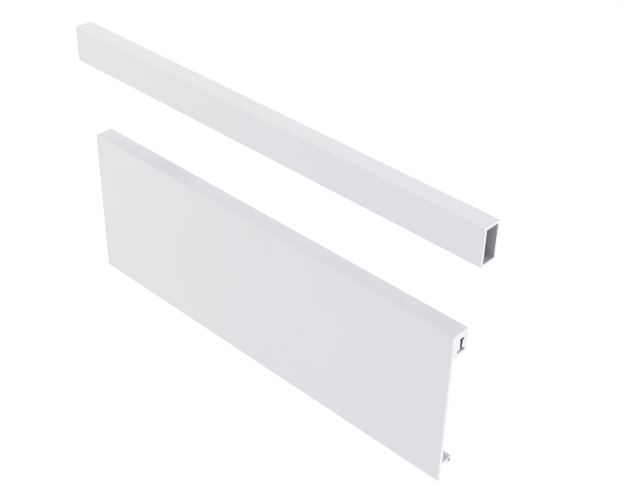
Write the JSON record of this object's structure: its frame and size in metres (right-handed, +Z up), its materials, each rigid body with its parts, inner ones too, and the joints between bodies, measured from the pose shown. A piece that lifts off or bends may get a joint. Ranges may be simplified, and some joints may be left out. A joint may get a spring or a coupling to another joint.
{
  "type": "baseboard heater",
  "caption": "Slim wall-hung electric baseboard heater with a flat extruded front panel, a finned element behind it and a separate tubular top rail.",
  "frame": {"origin": "middle of the four wall-screw holes in the back plate, on the wall plane", "axes": "+X along the heater to its right seen from the room, +Y into the wall, +Z up"},
  "size_m": [0.43, 0.028, 0.238],
  "materials": {
    "white_powder_coat": "satin",
    "white_moulding": "satin",
    "galvanised_steel": "satin",
    "spring_steel": "satin",
    "bright_steel": "satin",
    "element_sheath": "satin",
    "fin_aluminium": "satin",
    "silicone_bush": "matte",
    "foil_faced_board": "satin",
    "black_rubber": "matte",
    "block_plastic": "matte",
    "limiter_plastic": "matte",
    "button_red": "gloss",
    "ceramic_white": "matte",
    "tinned_tag": "satin",
    "sensor_copper": "satin",
    "lead_brown": "satin",
    "lead_blue": "satin",
    "lead_green_yellow": "satin"
  },
  "bodies": {
    "chassis": {"back_plate": "galvanised_steel", "block_screws": "bright_steel", "cable_bush": "black_rubber", "chassis_screws": "bright_steel", "cover_screws": "bright_steel", "earth_nut": "bright_steel", "earth_stud": "bright_steel", "earth_tag": "tinned_tag", "element_bushes": "silicone_bush", "end_insulators": "ceramic_white", "fin_stack": "fin_aluminium", "hanging_rod": "bright_steel", "heating_element": "element_sheath", "insulation_board": "foil_faced_board", "lead_earth": "lead_green_yellow", "lead_link": "lead_brown", "lead_live": "lead_brown", "lead_neutral": "lead_blue", "port_clip_left": "spring_steel", "port_clip_right": "spring_steel", "rail_wall_clip_left": "galvanised_steel", "rail_wall_clip_right": "galvanised_steel", "sensing_tube": "sensor_copper", "support_bracket_left": "galvanised_steel", "support_bracket_right": "galvanised_steel", "terminal_block": "block_plastic", "terminal_box": "galvanised_steel", "terminal_cover": "galvanised_steel", "terminal_pins": "bright_steel", "thermal_cutout": "limiter_plastic"},
    "front_panel": {"front_panel": "white_powder_coat", "panel_plug_left": "white_moulding", "panel_plug_right": "white_moulding", "panel_hook_left": "galvanised_steel", "panel_hook_centre": "galvanised_steel", "panel_hook_right": "galvanised_steel", "hook_rivets": "bright_steel"},
    "top_rail": {"top_rail": "white_powder_coat", "rail_cap_left": "white_moulding", "rail_hanger_left": "galvanised_steel", "rail_hanger_right": "galvanised_steel", "rail_rivets": "bright_steel"},
    "reset_button": {"reset_button": "button_red"}
  },
  "joints": [
    {"name": "panel_swing", "type": "hinge", "parent": "chassis", "child": "front_panel", "pos_m": [0, -0.0076, 0.06], "axis": [-1, 0, 0], "range_deg": [0, 25]},
    {"name": "rail_lift", "type": "slide", "parent": "chassis", "child": "top_rail", "axis": [0, 0, 1], "range_m": [0, 0.008]},
    {"name": "reset_press", "type": "slide", "parent": "chassis", "child": "reset_button", "axis": [0, 0, 1], "range_m": [0, 0.0025], "stiffness_N_per_m": 500}
  ]
}
